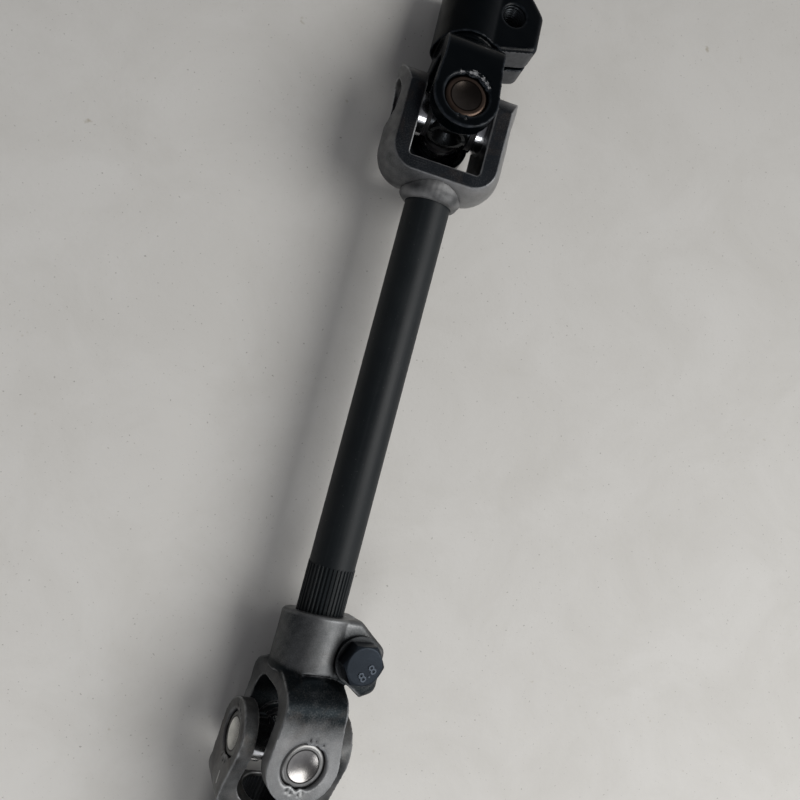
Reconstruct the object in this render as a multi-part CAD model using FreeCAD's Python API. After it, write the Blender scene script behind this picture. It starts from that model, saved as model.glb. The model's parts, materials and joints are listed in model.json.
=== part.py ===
import FreeCAD, Part
import math
import os
from FreeCAD import Matrix, Placement, Rotation, Vector

# Steering intermediate shaft with a universal joint at each end, lying on a flat surface.
# Millimetres and degrees. The shaft lies along Y, the upper joint at its +Y end, and +Z is up.
# The model is moved at the end so that the origin is the middle of its footprint.

# Layout
joint_spacing = 218.6            # from the centre of one cross to the centre of the other
lower_phase = 14.0               # turn of the lower clamp yoke about the shaft
end_yoke_swing = 3.0             # how far the end yoke is swung sideways where it lies

# Shaft
shaft_dia = 16.0
spline_teeth = 36
spline_crest_dia = 16.3
spline_root_dia = 15.4
spline_crest_share = 0.14        # half width of a tooth's flat top, as a share of the pitch
spline_root_share = 0.12         # the same for the flat between two teeth
spline_start_from_cross = 61.5   # from the lower cross to where the teeth begin
spline_run_out = 1.2
shaft_end_from_cross = 22.0
shaft_end_chamfer = 1.0
shaft_end_recess = 1.0           # shaft end below the inner face of the welded yoke

# Welded shaft yoke, a crowned strap bent to a U
strap_half_depth = 11.75
strap_crown_radius = 21.7
strap_inner_half_width = 12.5
strap_throat = 18.8              # from the pin axis to the web
strap_web_relief = 1.1           # how far the opening is cut in to the web
strap_bend_radius = 2.4          # of the strap's inner face, before the opening is cut square
strap_inner_corner = 1.2
strap_tip_radius = 13.0
strap_bore_mouth_dia = 16.4

# Weld round the shaft
weld_toe_length = 3.6            # along the shaft, from the web
weld_leg = 2.7                   # height over the shaft, at the web
weld_bulge = 1.0

# Cross, cups, needles and seals, the same in both joints
trunnions = {"left": (-1, 0, 0), "right": (1, 0, 0), "bottom": (0, 0, -1), "top": (0, 0, 1)}
cup_dia = 15.0
cup_end_from_centre = 18.6       # outer end of each cup
cup_length = 9.4
cup_wall = 0.98
cup_floor = 2.1
cup_edge_radius = 1.4
cup_dish_dia = 10.2
cup_dish_depth = 0.8
needle_count = 17
needle_dia = 1.98
needle_length = 6.2
needle_play = 0.02               # radial, needle to cup wall
trunnion_play = 0.03             # radial, needle to trunnion
trunnion_end_gap = 0.1           # trunnion end to cup floor
trunnion_end_chamfer = 0.6
trunnion_root_step = 1.21        # height of the shoulder that the seal sits against
hub_dia = 14.6
hub_thickness = 11.2
hub_edge = 0.7
hub_pocket_dia = 10.8
hub_pocket_floor_dia = 5.5
hub_pocket_depth = 3.2
seal_length = 1.7
seal_wall = 2.31
seal_groove_depth = 0.5
seal_grooves = 2
seal_gap = 0.15                  # seal to cup

# Clamp yokes, what the three have in common
ear_face_from_centre = 19.5
ear_waist_from_centre = 13.0
ear_flat_end = 19.0              # from the pin axis to where the ear bends in to the neck
neck_radius = 11.4
neck_start = 26.0
neck_overlap = 4.0               # how far the neck reaches in to the collar
neck_flare_start = 20.0          # the ears' corners blend in to the round neck from here
neck_flare_radius = 22.5
fork_throat = 19.0
fork_corner_radius = 9.0
fork_bend_radius = 7.0
ear_bore_chamfer = 0.6
clamp_bore_dia = 16.4
clamp_slot = 2.0
lug_half_height = 11.0
lug_reach = 22.8                 # from the bore axis to the free end of the lugs
lug_corner_radius = 3.5
lug_edge_radius = 2.0
collar_end_chamfer = 0.8

# Upper clamp yoke
upper_ear_tip_radius = 11.4
upper_ear_waist_half_width = 10.3
upper_ear_thickness = 6.0
upper_collar_dia = 25.4
upper_collar_end = 55.0
upper_collar_end_tilt = 0.0      # lean of the collar's end face, degrees
upper_arch_radius = 28.2         # the collar starts outside this radius round the ear axis
upper_lug_start = 30.2           # at the lugs' free end
upper_lug_lean = 17.0            # slant of the lugs' front face, degrees
upper_lug_end = 55.0
upper_lug_chamfer_width = 8.4    # of the lugs' outer corner, across the shaft
upper_lug_chamfer_length = 10.0  # and along it
upper_bolt_from_cross = 41.2
upper_bolt_offset = 11.9

# Lower clamp yoke
lower_ear_tip_radius = 12.3
lower_ear_waist_half_width = 10.8
lower_ear_thickness = 6.0
lower_collar_dia = 25.2
lower_collar_end = 43.9
lower_collar_end_tilt = 8.0
lower_arch_radius = 26.7
lower_lug_start = 22.6
lower_lug_lean = 27.0
lower_lug_end = 45.3
lower_lug_chamfer_width = 11.0
lower_lug_chamfer_length = 8.4
lower_bolt_from_cross = 33.0
lower_bolt_offset = 12.7

# End clamp yoke
end_ear_tip_radius = 11.6
end_ear_waist_half_width = 9.2
end_ear_thickness = 5.0
end_collar_dia = 25.6
end_collar_end = 50.0
end_collar_end_tilt = 0.0
end_arch_radius = 26.7
end_lug_start = 25.0
end_lug_lean = 20.0
end_lug_end = 49.0
end_lug_chamfer_width = 9.0
end_lug_chamfer_length = 8.4
end_bolt_from_cross = 36.4
end_bolt_offset = 12.2

# Pinch bolt, its washer and its holes
bolt_dia = 8.0
bolt_thread_drill_dia = 6.8
bolt_clearance_dia = 8.6
bolt_mouth_dia = 9.4             # countersunk mouth of the threaded hole
spot_face_dia = 17.0             # seat cut for the washer
bolt_head_across_flats = 13.0
bolt_head_height = 5.3
bolt_head_chamfer_angle = 30.0
bolt_head_turn = 3.0             # of the hexagon's first corner from the lugs' free end
bolt_head_flat_share = 0.95      # flat of the head's top, as a share of its across flats
bolt_tip_past_lug = 3.2
bolt_tip_chamfer = 1.0
washer_dia = 16.4
washer_thickness = 1.6
washer_hole_dia = 8.4

# Values that follow from the sizes above
cup_inner_end = cup_end_from_centre - cup_length
cup_bore_radius = cup_dia / 2 - cup_wall
needle_ring_radius = cup_bore_radius - needle_play - needle_dia / 2
trunnion_radius = needle_ring_radius - needle_dia / 2 - trunnion_play
trunnion_root_radius = trunnion_radius + trunnion_root_step
seal_radius = trunnion_radius + seal_wall
trunnion_end = cup_end_from_centre - cup_floor - trunnion_end_gap
seal_outer_end = cup_inner_end - seal_gap
seal_inner_end = seal_outer_end - seal_length
strap_mid_thickness = strap_crown_radius - strap_inner_half_width
strap_edge_thickness = (math.sqrt(strap_crown_radius ** 2 - strap_half_depth ** 2)
                        - strap_inner_half_width)
strap_bent_throat = strap_throat - strap_web_relief
web_outer_from_centre = strap_bent_throat + strap_mid_thickness
far = 200.0                      # reach of cutting tools, well past every piece


def cylinder(dia, start, end, direction):
    """A round bar of the given diameter from start to end along a direction through the origin."""
    axis = Vector(*direction)
    return Part.makeCylinder(dia / 2, end - start, axis * start, axis)


def block(x0, x1, y0, y1, z0, z1):
    return Part.makeBox(x1 - x0, y1 - y0, z1 - z0, Vector(x0, y0, z0))


def turned(profile):
    """Turns a closed outline of (radius, height) points about the Z axis."""
    points = [Vector(radius, 0, height) for radius, height in profile]
    face = Part.Face(Part.makePolygon(points + points[:1]))
    return face.revolve(Vector(0, 0, 0), Vector(0, 0, 1), 360)


def along(shape, direction):
    """Turns a shape that was made along Z so that it points along the given direction."""
    placed = shape.copy()
    placed.Placement = Placement(Vector(0, 0, 0), Rotation(Vector(0, 0, 1), Vector(*direction)))
    return placed


def in_frame(shape, frame):
    placed = shape.copy()
    placed.Placement = frame.multiply(shape.Placement)
    return placed


def edges_along(shape, direction, test):
    """The straight edges of a shape that run along a direction and whose middle passes a test."""
    axis = Vector(*direction)
    picked = []
    for edge in shape.Edges:
        if not isinstance(edge.Curve, Part.Line):
            continue
        start, end = edge.Vertexes[0].Point, edge.Vertexes[-1].Point
        if abs((end - start).normalize().dot(axis)) > 0.999 and test((start + end) * 0.5):
            picked.append(edge)
    return picked


# The intermediate shaft with its rolled serration

def tooth_outline(y):
    """The serration's section at a height y along the shaft: flat-topped V teeth."""
    root, crest = spline_root_dia / 2, spline_crest_dia / 2
    pitch = 2 * math.pi / spline_teeth
    corners = ((root, spline_root_share - 0.5), (crest, -spline_crest_share),
               (crest, spline_crest_share), (root, 0.5 - spline_root_share))
    points = []
    for tooth in range(spline_teeth):
        for radius, share in corners:
            angle = (tooth + share) * pitch
            points.append(Vector(radius * math.cos(angle), y, radius * math.sin(angle)))
    return Part.makePolygon(points + points[:1])


def make_shaft():
    """Built from the upper cross centre, so all of it is at negative Y."""
    top = -(strap_throat + shaft_end_recess)
    teeth_start = -(joint_spacing - spline_start_from_cross)
    end = -(joint_spacing - shaft_end_from_cross)
    plain = cylinder(shaft_dia, -top, -teeth_start + spline_run_out, (0, -1, 0))
    teeth = Part.Face(tooth_outline(end)).extrude(Vector(0, teeth_start - end, 0))
    radius = spline_crest_dia / 2
    envelope = along(turned([
        (0, -teeth_start), (spline_root_dia / 2, -teeth_start),
        (radius, -teeth_start + spline_run_out), (radius, -end - shaft_end_chamfer),
        (radius - shaft_end_chamfer, -end), (0, -end)]), (0, -1, 0))
    return plain.fuse(teeth.common(envelope)).removeSplitter()


# The U-shaped yoke that is welded to the shaft

def strap_section(place):
    """The crowned section, mapped to a face by place(distance from the inner face, z)."""
    z = strap_half_depth
    inner_low, inner_high = place(0, -z), place(0, z)
    outer_low, outer_high = place(strap_edge_thickness, -z), place(strap_edge_thickness, z)
    crown = Part.Arc(outer_low, place(strap_mid_thickness, 0), outer_high).toShape()
    return Part.Face(Part.Wire([
        Part.makeLine(inner_high, inner_low), Part.makeLine(inner_low, outer_low), crown,
        Part.makeLine(outer_high, inner_high)]))


def make_shaft_yoke():
    half_width = strap_inner_half_width
    corner_x = half_width - strap_bend_radius
    corner_y = -strap_bent_throat + strap_bend_radius
    web = strap_section(lambda out, z: Vector(-corner_x, -strap_bent_throat - out, z)).extrude(
        Vector(2 * corner_x, 0, 0))
    strap = web
    for side in (-1, 1):
        arm_face = strap_section(
            lambda out, z: Vector(side * (half_width + out), corner_y, z))
        arm = arm_face.extrude(Vector(0, strap_tip_radius - corner_y, 0))
        bend = arm_face.revolve(Vector(side * corner_x, corner_y, 0), Vector(0, 0, -side), 90)
        strap = strap.fuse([arm, bend])
    below_pin = block(-far, far, -far, 0, -far, far)
    round_tip = cylinder(2 * strap_tip_radius, -far, far, (1, 0, 0))
    strap = strap.common(below_pin.fuse(round_tip))
    opening = block(-half_width, half_width, -strap_throat, far, -far, far)
    opening = opening.makeFillet(strap_inner_corner, edges_along(
        opening, (0, 0, 1), lambda p: p.y < 0))
    tools = [opening, cylinder(cup_dia, -far, far, (1, 0, 0)),
             cylinder(shaft_dia, 0, far, (0, -1, 0))]
    for side in (-1, 1):
        tools.append(cylinder(strap_bore_mouth_dia, ear_face_from_centre - ear_bore_chamfer, far,
                              (side, 0, 0)))
    return strap.cut(tools).removeSplitter()


def make_weld_bead(shaft_yoke):
    """A convex fillet of weld between the shaft and the crowned web."""
    shaft_radius, outer = shaft_dia / 2, shaft_dia / 2 + weld_leg
    start, toe = strap_bent_throat + strap_edge_thickness, web_outer_from_centre + weld_toe_length
    middle_radius, middle_y = (shaft_radius + outer) / 2, (web_outer_from_centre + toe) / 2
    slope = math.hypot(outer - shaft_radius, weld_toe_length)
    bulge_r = weld_bulge * weld_toe_length / slope
    bulge_y = weld_bulge * (outer - shaft_radius) / slope
    toe_point = Vector(shaft_radius, 0, toe)
    shoulder = Vector(outer, 0, web_outer_from_centre)
    back, inner = Vector(outer, 0, start - 1), Vector(shaft_radius, 0, start - 1)
    face = Part.Face(Part.Wire([
        Part.Arc(toe_point, Vector(middle_radius + bulge_r, 0, middle_y + bulge_y),
                 shoulder).toShape(),
        Part.makeLine(shoulder, back), Part.makeLine(back, inner),
        Part.makeLine(inner, toe_point)]))
    ring = face.revolve(Vector(0, 0, 0), Vector(0, 0, 1), 360)
    return along(ring, (0, -1, 0)).cut(shaft_yoke)


# The cross with what runs on its four trunnions

def make_cross():
    """Trunnions along X and Z, and a round hub along Y with a pocket in each face."""
    radius, half = hub_dia / 2, hub_thickness / 2
    hub = turned([
        (0, -half), (radius - hub_edge, -half), (radius, -half + hub_edge),
        (radius, half - hub_edge), (radius - hub_edge, half), (0, half)])
    pocket = turned([
        (0, half - hub_pocket_depth), (hub_pocket_floor_dia / 2, half - hub_pocket_depth),
        (hub_pocket_dia / 2, half), (hub_pocket_dia / 2, 2 * half), (0, 2 * half)])
    trunnion = turned([
        (0, 0), (trunnion_root_radius, 0), (trunnion_root_radius, seal_inner_end),
        (trunnion_radius, seal_inner_end), (trunnion_radius, trunnion_end - trunnion_end_chamfer),
        (trunnion_radius - trunnion_end_chamfer, trunnion_end), (0, trunnion_end)])
    arms = [along(trunnion, way) for way in trunnions.values()]
    pockets = [along(pocket, (0, side, 0)) for side in (-1, 1)]
    return along(hub, (0, 1, 0)).fuse(arms).cut(pockets).removeSplitter()


def make_cup():
    """Drawn bearing cup along Z, with its closed end dished."""
    end = cup_end_from_centre
    shell = cylinder(cup_dia, cup_inner_end, end, (0, 0, 1))
    shell = shell.makeFillet(cup_edge_radius, [
        edge for edge in shell.Edges if edge.CenterOfMass.z > end - cup_edge_radius])
    dish_radius = ((cup_dish_dia / 2) ** 2 + cup_dish_depth ** 2) / (2 * cup_dish_depth)
    dish = Part.makeSphere(dish_radius, Vector(0, 0, end - cup_dish_depth + dish_radius))
    return shell.cut([dish, cylinder(2 * cup_bore_radius, 0, end - cup_floor, (0, 0, 1))])


def make_needles():
    start = (cup_inner_end + cup_end_from_centre - cup_floor - needle_length) / 2
    needles = []
    for index in range(needle_count):
        angle = 2 * math.pi * index / needle_count
        centre = Vector(needle_ring_radius * math.cos(angle), needle_ring_radius * math.sin(angle),
                        start)
        needles.append(Part.makeCylinder(needle_dia / 2, needle_length, centre))
    return Part.Compound(needles)


def make_seal():
    """Ribbed rubber ring on the trunnion's shoulder, just short of the cup."""
    outer = seal_radius
    pitch = seal_length / (2 * seal_grooves + 1)
    profile = [(trunnion_radius, seal_inner_end), (outer, seal_inner_end)]
    for groove in range(seal_grooves):
        low = seal_inner_end + pitch * (2 * groove + 1)
        profile += [(outer, low), (outer - seal_groove_depth, low + pitch / 4),
                    (outer - seal_groove_depth, low + 3 * pitch / 4), (outer, low + pitch)]
    profile += [(outer, seal_outer_end), (trunnion_radius, seal_outer_end)]
    return turned(profile)


# The forked clamp yokes

def make_fork(tip_radius, waist_half_width, ear_thickness, arch_radius):
    """The two ears along Z and the neck towards +Y, before the collar is added."""
    ear_inner = ear_face_from_centre - ear_thickness
    neck_end = arch_radius + neck_overlap
    side_points = [(-2 * tip_radius, ear_face_from_centre), (ear_flat_end, ear_face_from_centre),
                   (neck_start, neck_radius), (neck_end, neck_radius)]
    outline = [Vector(-far, y, z) for y, z in side_points]
    outline += [Vector(-far, y, -z) for y, z in reversed(side_points)]
    body = Part.Face(Part.makePolygon(outline + outline[:1])).extrude(Vector(2 * far, 0, 0))
    body = body.makeFillet(fork_bend_radius, edges_along(
        body, (1, 0, 0), lambda p: ear_flat_end - 0.1 < p.y < neck_start + 0.1))

    opening = block(-far, far, -far, fork_throat, -ear_inner, ear_inner)
    opening = opening.makeFillet(fork_corner_radius, edges_along(
        opening, (1, 0, 0), lambda p: p.y > fork_throat - 0.1))

    half, waist = tip_radius, waist_half_width
    corners = [Vector(half, 0, -far), Vector(waist, ear_waist_from_centre, -far),
               Vector(waist, neck_end, -far), Vector(-waist, neck_end, -far),
               Vector(-waist, ear_waist_from_centre, -far), Vector(-half, 0, -far)]
    tip = Part.Arc(corners[-1], Vector(0, -half, -far), corners[0]).toShape()
    front = Part.Face(Part.Wire([tip] + Part.makePolygon(corners).Edges))
    neck = turned([(0, -far), (far, -far), (far, neck_flare_start),
                   (neck_flare_radius, neck_flare_start), (neck_radius, neck_start),
                   (neck_radius, far), (0, far)])
    body = body.common(front.extrude(Vector(0, 0, 2 * far)))
    return body.common(along(neck, (0, 1, 0))).cut(opening)


def make_lugs(start, lean, end, chamfer_width, chamfer_length):
    """Both lugs as one block towards +X, with a slanted front, a chamfered corner and round rims."""
    top = lug_half_height
    root_start = start - lug_reach * math.tan(math.radians(lean))
    corners = [(0, root_start), (lug_reach, start), (lug_reach, end - chamfer_length),
               (lug_reach - chamfer_width, end), (0, end)]
    outline = [Vector(x, y, -top) for x, y in corners]
    lugs = Part.Face(Part.makePolygon(outline + outline[:1])).extrude(Vector(0, 0, 2 * top))
    lugs = lugs.makeFillet(lug_corner_radius, edges_along(lugs, (0, 0, 1), lambda p: p.x > 0.1))
    return lugs.makeFillet(lug_edge_radius, [
        edge for edge in lugs.Edges
        if abs(edge.CenterOfMass.z) > top - 0.1 and edge.CenterOfMass.x > 0.1])


def make_clamp(collar_dia, collar_end, end_tilt, arch_radius, lugs):
    """The round collar along Y with its lugs, arched clear of the other yoke's ears."""
    beyond = in_frame(block(-far, far, 0, far, -far, far), Placement(
        Vector(0, collar_end, 0), Rotation(Vector(1, 0, 0), -end_tilt)))
    collar = cylinder(collar_dia, fork_throat, collar_end + collar_dia, (0, 1, 0)).cut(beyond)
    collar = collar.makeChamfer(collar_end_chamfer, [
        edge for edge in collar.Edges if edge.CenterOfMass.y > collar_end - 0.1])
    arch = cylinder(2 * arch_radius, -far, far, (0, 0, 1))
    return collar.fuse(lugs.cut(beyond)).cut(arch)


def bolt_hole_tools(from_cross, offset, threaded_side, thread_dia):
    """Tools for a threaded hole in one lug and a spot-faced clearance hole in the other."""
    face = lug_half_height
    mouth_depth = (bolt_mouth_dia - thread_dia) / 2
    threaded = turned([
        (0, 0), (thread_dia / 2, 0), (thread_dia / 2, face - mouth_depth), (bolt_mouth_dia / 2, face),
        (bolt_mouth_dia / 2, far), (0, far)])
    clearance = turned([
        (0, 0), (bolt_clearance_dia / 2, 0), (bolt_clearance_dia / 2, face), (spot_face_dia / 2, face),
        (spot_face_dia / 2, far), (0, far)])
    place = Placement(Vector(offset, from_cross, 0), Rotation())
    return [in_frame(along(threaded, (0, 0, threaded_side)), place),
            in_frame(along(clearance, (0, 0, -threaded_side)), place)]


def finish_clamp_yoke(fork, clamp, hole_tools):
    """Joins a fork to its clamp, then cuts the bore, the slot, the cup bores and the bolt holes."""
    mouth = ear_bore_chamfer
    face = ear_face_from_centre
    tools = [cylinder(clamp_bore_dia, 0, far, (0, 1, 0)), cylinder(cup_dia, -far, far, (0, 0, 1)),
             block(0, far, ear_waist_from_centre, far, -clamp_slot / 2, clamp_slot / 2)]
    for side in (-1, 1):
        tools.append(along(turned([
            (0, face - mouth), (cup_dia / 2, face - mouth), (cup_dia / 2 + 2 * mouth, face + mouth),
            (0, face + mouth)]), (0, 0, side)))
    return fork.fuse(clamp).cut(tools + hole_tools).removeSplitter()


def make_upper_clamp_yoke():
    fork = make_fork(upper_ear_tip_radius, upper_ear_waist_half_width, upper_ear_thickness,
                     upper_arch_radius)
    lugs = make_lugs(upper_lug_start, upper_lug_lean, upper_lug_end, upper_lug_chamfer_width,
                     upper_lug_chamfer_length)
    clamp = make_clamp(upper_collar_dia, upper_collar_end, upper_collar_end_tilt,
                       upper_arch_radius, lugs)
    holes = bolt_hole_tools(upper_bolt_from_cross, upper_bolt_offset, 1, bolt_thread_drill_dia)
    return finish_clamp_yoke(fork, clamp, holes)


def make_lower_clamp_yoke():
    """Its bolt is in place, so the threaded hole is as wide as the bolt."""
    fork = make_fork(lower_ear_tip_radius, lower_ear_waist_half_width, lower_ear_thickness,
                     lower_arch_radius)
    lugs = make_lugs(lower_lug_start, lower_lug_lean, lower_lug_end, lower_lug_chamfer_width,
                     lower_lug_chamfer_length)
    clamp = make_clamp(lower_collar_dia, lower_collar_end, lower_collar_end_tilt,
                       lower_arch_radius, lugs)
    holes = bolt_hole_tools(lower_bolt_from_cross, lower_bolt_offset, -1, bolt_dia)
    return finish_clamp_yoke(fork, clamp, holes)


def make_end_clamp_yoke():
    fork = make_fork(end_ear_tip_radius, end_ear_waist_half_width, end_ear_thickness,
                     end_arch_radius)
    lugs = make_lugs(end_lug_start, end_lug_lean, end_lug_end, end_lug_chamfer_width,
                     end_lug_chamfer_length)
    clamp = make_clamp(end_collar_dia, end_collar_end, end_collar_end_tilt, end_arch_radius, lugs)
    holes = bolt_hole_tools(end_bolt_from_cross, end_bolt_offset, -1, bolt_thread_drill_dia)
    return finish_clamp_yoke(fork, clamp, holes)


# The pinch bolt and its washer, in the lower clamp yoke's frame with the head up

def make_washer():
    base = lug_half_height
    ring = cylinder(washer_dia, base, base + washer_thickness, (0, 0, 1))
    return ring.cut(cylinder(washer_hole_dia, 0, far, (0, 0, 1)))


def make_bolt():
    seat = lug_half_height + washer_thickness
    top = seat + bolt_head_height
    tip = -lug_half_height - bolt_tip_past_lug
    radius = bolt_dia / 2
    corner_radius = bolt_head_across_flats / math.sqrt(3)
    corners = [Vector(corner_radius * math.cos(math.radians(bolt_head_turn + angle)),
                      corner_radius * math.sin(math.radians(bolt_head_turn + angle)), seat)
               for angle in range(0, 360, 60)]
    head = Part.Face(Part.makePolygon(corners + corners[:1])).extrude(Vector(0, 0, bolt_head_height))
    flat_radius = bolt_head_flat_share * bolt_head_across_flats / 2
    rim_drop = (2 * corner_radius - flat_radius) * math.tan(math.radians(bolt_head_chamfer_angle))
    cap = turned([(0, 0), (2 * corner_radius, 0), (2 * corner_radius, top - rim_drop),
                  (flat_radius, top), (0, top)])
    shank = turned([(0, tip), (radius - bolt_tip_chamfer, tip), (radius, tip + bolt_tip_chamfer),
                    (radius, seat), (0, seat)])
    return shank.fuse(head.common(cap)).removeSplitter()


# How the pieces lie. The shaft is level. Its upper end is carried by the lower ear of the upper
# clamp yoke, and its lower end by an edge of the lower clamp yoke. Both outer yokes droop until
# they touch the surface.

phase = math.radians(lower_phase)
swing = math.radians(end_yoke_swing)
axis_height = ear_face_from_centre * math.cos(phase) + lower_ear_tip_radius * math.sin(phase)

ear_bend = math.atan2(ear_face_from_centre - neck_radius, neck_start - ear_flat_end)
bend_centre_y = ear_flat_end - fork_bend_radius * math.tan(ear_bend / 2)
bend_centre_z = ear_face_from_centre - fork_bend_radius
upper_droop = (math.atan2(bend_centre_y, bend_centre_z)
               - math.acos((axis_height - fork_bend_radius)
                           / math.hypot(bend_centre_y, bend_centre_z)))

end_rim_y = end_collar_end - collar_end_chamfer
end_dip = (math.asin(axis_height / math.hypot(end_rim_y, end_collar_dia / 2))
           - math.atan2(end_collar_dia / 2, end_rim_y))
rise_by_swing = math.sin(swing) * math.sin(phase)
end_droop = (math.asin(math.sin(end_dip) / math.hypot(rise_by_swing, math.cos(phase)))
             + math.atan2(rise_by_swing, math.cos(phase)))

upper_centre = Vector(0, 0, axis_height)
lower_centre = Vector(0, -joint_spacing, axis_height)
shaft_frame = Placement(upper_centre, Rotation())
upper_frame = Placement(upper_centre, Rotation(Vector(1, 0, 0), -math.degrees(upper_droop)))
lower_yoke_frame = Placement(lower_centre, Rotation(Vector(0, 1, 0), lower_phase))
lower_cross_frame = lower_yoke_frame.multiply(
    Placement(Vector(0, 0, 0), Rotation(Vector(0, 0, 1), -end_yoke_swing)))
end_yoke_turn = Rotation(Vector(0, 0, 1), Vector(0, -1, 0), Vector(1, 0, 0), "ZXY")
end_yoke_frame = lower_cross_frame.multiply(Placement(
    Vector(0, 0, 0), Rotation(Vector(1, 0, 0), math.degrees(end_droop)).multiply(end_yoke_turn)))
bolt_frame = lower_yoke_frame.multiply(
    Placement(Vector(lower_bolt_offset, lower_bolt_from_cross, 0), Rotation()))


def make_pieces():
    """Every piece by its name, where it lies."""
    shaft_yoke = make_shaft_yoke()
    cross, cup, needles, seal = make_cross(), make_cup(), make_needles(), make_seal()
    pieces = {
        "intermediate_shaft": in_frame(make_shaft(), shaft_frame),
        "shaft_yoke": in_frame(shaft_yoke, shaft_frame),
        "weld_bead": in_frame(make_weld_bead(shaft_yoke), shaft_frame),
        "upper_clamp_yoke": in_frame(make_upper_clamp_yoke(), upper_frame),
        "lower_clamp_yoke": in_frame(make_lower_clamp_yoke(), lower_yoke_frame),
        "end_clamp_yoke": in_frame(make_end_clamp_yoke(), end_yoke_frame),
        "pinch_bolt": in_frame(make_bolt(), bolt_frame),
        "flat_washer": in_frame(make_washer(), bolt_frame)}
    for joint, frame in (("upper", upper_frame), ("lower", lower_cross_frame)):
        pieces[joint + "_cross"] = in_frame(cross, frame)
        for side, way in trunnions.items():
            pieces[f"{joint}_cup_{side}"] = in_frame(along(cup, way), frame)
            pieces[f"{joint}_needles_{side}"] = in_frame(along(needles, way), frame)
            pieces[f"{joint}_seal_{side}"] = in_frame(along(seal, way), frame)
    return pieces


def footprint_middle(pieces):
    """The middle of the footprint, at the height of the surface."""
    box = Part.Compound(list(pieces.values())).optimalBoundingBox(False, False)
    return Vector(box.Center.x, box.Center.y, box.ZMin)


pieces = make_pieces()
origin = footprint_middle(pieces)
os.makedirs("parts", exist_ok=True)
for name, shape in pieces.items():
    placed = in_frame(shape, Placement(-origin, Rotation()))
    placed.exportStep("parts/" + name + ".step")
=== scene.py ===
import json
import math
import bpy
import numpy as np
from mathutils import Matrix, Vector


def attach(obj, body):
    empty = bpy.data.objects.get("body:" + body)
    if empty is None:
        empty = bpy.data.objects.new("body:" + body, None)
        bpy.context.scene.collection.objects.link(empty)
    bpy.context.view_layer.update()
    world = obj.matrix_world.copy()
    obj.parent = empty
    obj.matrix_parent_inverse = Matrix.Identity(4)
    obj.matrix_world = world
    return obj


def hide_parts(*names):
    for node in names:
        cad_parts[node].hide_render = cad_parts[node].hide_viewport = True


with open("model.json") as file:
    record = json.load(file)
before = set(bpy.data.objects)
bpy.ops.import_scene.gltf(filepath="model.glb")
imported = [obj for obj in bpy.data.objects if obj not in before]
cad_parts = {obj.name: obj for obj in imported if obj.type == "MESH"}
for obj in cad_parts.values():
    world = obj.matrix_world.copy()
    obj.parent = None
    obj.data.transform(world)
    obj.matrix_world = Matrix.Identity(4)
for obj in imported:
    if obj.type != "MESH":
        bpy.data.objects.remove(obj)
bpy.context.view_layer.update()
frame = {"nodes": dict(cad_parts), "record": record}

MM = 0.001

# Sizes of the solids that the added pieces meet, in millimetres
CUP_RADIUS = 7.5
CUP_END = 18.6
CUP_DISH_RADIUS = 5.1
CUP_EDGE = (CUP_RADIUS - 0.5, CUP_RADIUS - 0.1)
NECK_START = 26.0
CLAMP_BORE_RADIUS = 8.2
CLAMP_SLOT = 2.0
LUG_HALF_HEIGHT = 11.0
BORE_START = 20.5
UPPER_BORE_END = 53.8
END_BORE_END = 48.8
SPLINE_TEETH = 36
SHAFT_RADIUS = 8.0
WASHER_THICKNESS = 1.6
BOLT_RADIUS = 4.0
BOLT_HEAD_HEIGHT = 5.3
BOLT_TIP = 3.2
THREAD_PITCH = 1.25

# The bolt and the two tapped holes: place across and along the shaft, in their yokes' frames
BOLT_PLACE = (12.7, 33.0)
UPPER_HOLE = (11.9, 41.2)
END_HOLE = (12.2, 36.4)

# What lies further out than this along a trunnion is an outer face of a cup or an ear
OUTER_FACE = CUP_END - 0.6


# Frames of the yokes, read from the record

class Local:
    """A frame in millimetres: a yoke's has its cross at the origin, its shaft on Y and its ears on Z."""

    def __init__(self, centre, y_axis, z_axis):
        self.centre = np.array(centre)
        y, z = np.array(y_axis, float), np.array(z_axis, float)
        self.turn = np.array([np.cross(y, z), y, z])

    def to_local(self, points):
        return (points - self.centre) @ self.turn.T / MM

    def to_world(self, points):
        return np.asarray(points) * MM @ self.turn + self.centre

    def normals(self, vectors):
        return vectors @ self.turn.T


joints = {joint["name"]: joint for joint in frame["record"]["behaviour"]["joints"]}
mounts = {mount["name"]: mount for mount in frame["record"]["mounts"]}
upper_centre = joints["upper_fork_axis"]["pos_m"]
upper_axis = joints["upper_clamp_axis"]["axis"]
lower_centre = joints["lower_clamp_axis"]["pos_m"]
lower_axis = joints["lower_clamp_axis"]["axis"]
end_axis = joints["end_fork_axis"]["axis"]
shaft_local = Local(upper_centre, (0, 1, 0), (0, 0, 1))
upper_local = Local(upper_centre, mounts["upper_shaft_clamp"]["axis"], upper_axis)
lower_local = Local(lower_centre, (0, 1, 0), lower_axis)
end_local = Local(lower_centre, mounts["end_shaft_clamp"]["axis"], end_axis)
lower_cross_local = Local(lower_centre, np.cross(lower_axis, end_axis), lower_axis)
bolt_local = Local(lower_local.to_world([*BOLT_PLACE, 0.0]), lower_local.turn[1], lower_local.turn[2])


# Mesh helpers

def smooth_step(low, high, value):
    share = np.clip((value - low) / (high - low), 0, 1)
    return share * share * (3 - 2 * share)


def vertex_array(mesh, kind="vertices", field="co"):
    data = np.empty(len(mesh.vertices) * 3, np.float32)
    getattr(mesh, kind).foreach_get(field, data)
    return data.reshape(-1, 3).astype(float)


def store(mesh, points):
    mesh.vertices.foreach_set("co", np.asarray(points, np.float32).ravel())
    mesh.update()


def edge_array(mesh):
    data = np.empty(len(mesh.edges) * 2, np.int32)
    mesh.edges.foreach_get("vertices", data)
    return data.reshape(-1, 2)


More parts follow.
